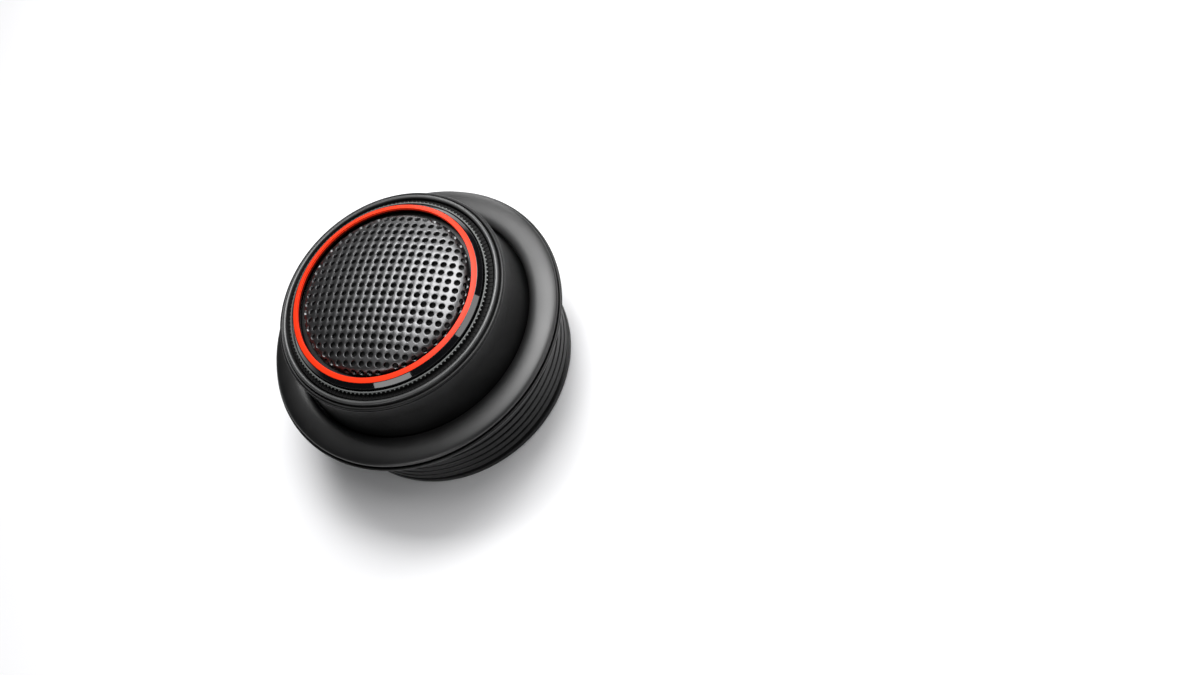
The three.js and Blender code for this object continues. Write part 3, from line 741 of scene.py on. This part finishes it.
coverShape = {"chamfer": 0.3, "dishOuter": 14.0, "dishInner": 6.2, "dish": 0.3, "slope": 0.3,
              "clearance": 0.3, "wellDepth": 1.3, "shankInset": 0.8, "seatDepth": 1.1, "seatInset": 1.2,
              "rimSteps": 200, "dishSteps": hiddenSteps}
screwShape = {"size": 1.6, "crown": 0.72, "shoulder": 0.9, "dome": 0.22, "side": 0.48, "under": 0.15,
              "slot": 0.34, "reach": 0.85, "recess": 0.4, "taper": 0.85, "threadPitch": 0.7,
              "threadDepth": 0.14, "smoothShank": 1.8, "tip": 0.4, "tipLength": 0.6}
grommetShape = {"neck": 1.2, "flange": 0.5, "lip": 0.3, "rib": 0.25, "ribHalf": 0.3, "steps": 96}


def loopAt(mesh, x, y, radius, z, sides=40):
    ring = bmesh.ops.create_circle(mesh, cap_ends=False, radius=radius, segments=sides)["verts"]
    bmesh.ops.translate(mesh, vec=(x, y, z), verts=ring)
    return list({e for v in ring for e in v.link_edges})


def step(mesh, edges, centre, scale, rise):    # carry a loop on, scaled about its centre and raised
    grown = bmesh.ops.extrude_edge_only(mesh, edges=edges)["geom"]
    verts = [g for g in grown if isinstance(g, bmesh.types.BMVert)]
    middle = Matrix.Translation((-centre[0], -centre[1], 0))
    bmesh.ops.scale(mesh, vec=(scale, scale, 1), verts=verts, space=middle)
    bmesh.ops.translate(mesh, vec=(0, 0, rise), verts=verts)
    return [g for g in grown if isinstance(g, bmesh.types.BMEdge)]


def screwPlaces():
    boxes = [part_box(f"rear_screw_{i}") for i in (1, 2, 3)]
    return [((low + high) / 2 / mm, (high.x - low.x) / 2 / mm) for low, high in boxes]


def makeRearCover(spec):
    mesh = bmesh.new()
    radius, thick = coverSize["radius"], coverSize["high"]
    face = radius - spec["chamfer"]
    neck = grommetSize["radius"] + spec["clearance"]
    outer = loopAt(mesh, 0, 0, face, 0, spec["rimSteps"])
    dish = loopAt(mesh, 0, 0, spec["dishOuter"], 0, spec["dishSteps"])
    wells = []
    for place, head in screwPlaces():
        size = head + spec["clearance"]
        wells.append(((place.x, place.y), size, loopAt(mesh, place.x, place.y, size, 0)))
    bmesh.ops.triangle_fill(mesh, use_beauty=True, normal=(0, 0, -1),
                            edges=[*outer, *dish, *[e for _, _, edges in wells for e in edges]])
    edges = step(mesh, outer, (0, 0), radius / face, spec["chamfer"])
    edges = step(mesh, edges, (0, 0), 1, thick - 2 * spec["chamfer"])
    top = step(mesh, edges, (0, 0), face / radius, spec["chamfer"])
    for centre, size, edges in wells:
        edges = step(mesh, edges, centre, 1, spec["wellDepth"])
        edges = step(mesh, edges, centre, (size - spec["shankInset"]) / size, 0)
        top += step(mesh, edges, centre, 1, thick - spec["wellDepth"])
    edges, at = dish, spec["dishOuter"]
    seat, depth = neck - spec["seatInset"], spec["seatDepth"]
    for target, rise in ((at - spec["slope"], spec["dish"]), (spec["dishInner"], 0),
                         (spec["dishInner"] - spec["slope"], -spec["dish"]), (neck, 0), (neck, depth),
                         (seat, 0), (seat, thick - depth)):
        edges = step(mesh, edges, (0, 0), target / at, rise)
        at = target
    bmesh.ops.triangle_fill(mesh, use_beauty=True, normal=(0, 0, 1), edges=[*top, *edges])
    return finish(mesh, "coverPlate", "mouldedBlack", "cup", ["rear_cover"])


def addCrossHead(mesh, spec, radius):  # a domed head with a cross recess, facing up
    scale = radius / spec["size"]
    rim = loopAt(mesh, 0, 0, radius * spec["crown"], 0, 32)
    arm, half = spec["reach"] * scale, spec["slot"] / 2 * scale
    corners = [(arm, half), (half, half), (half, arm), (-half, arm), (-half, half), (-arm, half),
               (-arm, -half), (-half, -half), (-half, -arm), (half, -arm), (half, -half), (arm, -half)]
    verts = [mesh.verts.new((x, y, 0)) for x, y in corners]
    cross = [mesh.edges.new(pair) for pair in zip(verts, verts[1:] + verts[:1])]
    bmesh.ops.triangle_fill(mesh, use_beauty=True, normal=(0, 0, 1), edges=[*rim, *cross])
    walls = step(mesh, cross, (0, 0), spec["taper"], -spec["recess"] * scale)
    bmesh.ops.edgenet_fill(mesh, edges=walls)
    edges = step(mesh, rim, (0, 0), spec["shoulder"] / spec["crown"], -spec["dome"] * 0.35 * scale)
    return step(mesh, edges, (0, 0), 1 / spec["shoulder"], -spec["dome"] * 0.65 * scale)


def makeScrew(spec, node, name):
    mesh = bmesh.new()
    low, high = (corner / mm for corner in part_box(node))
    radius, centre = (high.x - low.x) / 2, (low + high) / 2
    length = high.z - low.z
    edges = addCrossHead(mesh, spec, radius)
    edges = step(mesh, edges, (0, 0), 1, -min(spec["side"], length - spec["under"]))
    long = length > 2 * radius
    if long:                   # a threaded shank in even ridges, and a blunt tip
        shank = radius / 2
        edges = step(mesh, edges, (0, 0), shank / radius, 0)
        ridge, pitch = 1 + spec["threadDepth"] / shank, spec["threadPitch"]
        for _ in range(int((length - spec["smoothShank"]) / pitch)):
            for scale, share in ((1, 0.3), (1 / ridge, 0.25), (ridge, 0.45)):
                edges = step(mesh, edges, (0, 0), scale, -pitch * share)
        edges = step(mesh, edges, (0, 0), spec["tip"], -spec["tipLength"])
    bmesh.ops.edgenet_fill(mesh, edges=edges)
    bmesh.ops.scale(mesh, vec=(1, 1, -1), verts=mesh.verts)
    bmesh.ops.translate(mesh, vec=(centre.x, centre.y, low.z), verts=mesh.verts)
    body = "cup" if long else "head"
    return finish(mesh, name, "platedSteel", body, [node])


def makeGrommet(spec):         # flanged at both ends, with a rib in its bore to grip the lead
    low, high, radius, bore = (grommetSize[k] for k in ("low", "high", "radius", "bore"))
    neck, middle, rib = radius - spec["neck"], (low + high) / 2, bore + spec["rib"]
    lowFlange, highFlange = low + spec["flange"], high - spec["flange"]
    return spun([
        (bore, low, 0.15), (radius, low, 0.2), (radius, lowFlange, 0.2), (neck, lowFlange, 0.05),
        (neck, highFlange, 0.05), (radius, highFlange, 0.2), (radius - spec["lip"], high, 0.1),
        (bore, high, 0.15), (rib, middle + spec["ribHalf"], 0.1), (bore, middle, 0.1),
        (rib, middle - spec["ribHalf"], 0.1),
    ], "grommetRubber", "rubberBlack", "cup", ["cable_grommet"], spec["steps"])


makeRearCover(coverShape)
for i in (1, 2, 3):
    makeScrew(screwShape, f"rear_screw_{i}", f"coverScrew{i}")
for i in (1, 2):
    makeScrew(screwShape, f"board_screw_{i}", f"boardScrew{i}")
makeGrommet(grommetShape)
print("rear cover, screws and grommet made")


tabShape = {"tip": 0.6, "hole": 0.55, "holeDrop": 1.2}
boardShape = {"corner": 0.8, "edge": 0.12}
pinShape = {"chamfer": 0.12, "sides": 32}


def level(edge):
    return abs(edge.verts[0].co.z - edge.verts[1].co.z) < weld


def makeBoard(spec):
    mesh = bmesh.new()
    low, high = (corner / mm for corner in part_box("terminal_board"))
    verts = bmesh.ops.create_cube(mesh, size=1)["verts"]
    bmesh.ops.scale(mesh, vec=high - low, verts=verts)
    bmesh.ops.translate(mesh, vec=(low + high) / 2, verts=verts)
    uprights = [e for e in mesh.edges if not level(e)]
    bmesh.ops.bevel(mesh, geom=uprights, offset=spec["corner"], affect="EDGES", segments=4, profile=0.5,
                    material=-1)
    flats = [e for e in mesh.edges if level(e)]
    bmesh.ops.bevel(mesh, geom=flats, offset=spec["edge"], affect="EDGES", segments=2, profile=0.5,
                    material=-1)
    return finish(mesh, "boardPanel", "boardBrown", "head", ["terminal_board"])


def makeTab(spec, node, name, skin):     # a blade with a chamfered tip and a hole
    mesh = bmesh.new()
    low, high = (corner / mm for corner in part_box(node))
    half, tip = (high.y - low.y) / 2, spec["tip"]
    outline = [(high.z, half), (low.z + tip, half), (low.z, half - tip), (low.z, tip - half),
               (low.z + tip, -half), (high.z, -half)]
    verts = [mesh.verts.new((z, y, 0)) for z, y in outline]
    edges = [mesh.edges.new(pair) for pair in zip(verts, verts[1:] + verts[:1])]
    hole = loopAt(mesh, low.z + spec["holeDrop"], 0, spec["hole"], 0, 24)
    bmesh.ops.triangle_fill(mesh, use_beauty=True, normal=(0, 0, 1), edges=[*edges, *hole])
    walls = bmesh.ops.extrude_face_region(mesh, geom=list(mesh.faces))["geom"]
    raised = [g for g in walls if isinstance(g, bmesh.types.BMVert)]
    bmesh.ops.translate(mesh, vec=(0, 0, high.x - low.x), verts=raised)
    bmesh.ops.rotate(mesh, verts=mesh.verts, cent=(0, 0, 0), matrix=Matrix.Rotation(-turn / 4, 3, "Y"))
    reach = sum(v.co.x for v in mesh.verts) / len(mesh.verts)
    bmesh.ops.translate(mesh, vec=((low.x + high.x) / 2 - reach, 0, 0), verts=mesh.verts)
    return finish(mesh, name, skin, "head", [node])


def makePin(spec, node, name):
    mesh = bmesh.new()
    low, high = (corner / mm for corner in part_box(node))
    radius = (high.z - low.z) / 2
    bmesh.ops.create_cone(mesh, cap_ends=True, segments=spec["sides"], radius1=radius, radius2=radius,
                          depth=high.x - low.x)
    ends = [e for e in mesh.edges if level(e)]
    bmesh.ops.bevel(mesh, geom=ends, offset=spec["chamfer"], affect="EDGES", segments=2, profile=0.5,
                    material=-1)
    bmesh.ops.rotate(mesh, verts=mesh.verts, cent=(0, 0, 0), matrix=Matrix.Rotation(turn / 4, 3, "Y"))
    bmesh.ops.translate(mesh, vec=(low + high) / 2, verts=mesh.verts)
    return finish(mesh, name, "brightSteel", "swivel", [node])


makeBoard(boardShape)
makeTab(tabShape, "terminal_positive", "tabPlus", "terminalBrass")
makeTab(tabShape, "terminal_negative", "tabMinus", "platedSteel")
makePin(pinShape, "pivot_pin_1", "pinLeft")
makePin(pinShape, "pivot_pin_2", "pinRight")
print("terminals and pins made")


floorShape = {"side": 3000.0, "colour": (0.86, 0.86, 0.87)}


def makeFloor(spec):
    mesh = bmesh.new()
    bmesh.ops.create_grid(mesh, x_segments=1, y_segments=1, size=spec["side"] * mm / 2)
    data = bpy.data.meshes.new("floor")
    mesh.to_mesh(data)
    mesh.free()
    shader = Shader("floorPaper", spec["colour"], 0.9)
    paper = shader.noise(1.5, 3.0)
    shader.set(Roughness=paper * 0.1 + 0.85)
    data.materials.append(shader.material)
    floor = bpy.data.objects.new("floor", data)
    bpy.context.scene.collection.objects.link(floor)


makeFloor(floorShape)
print("floor made")
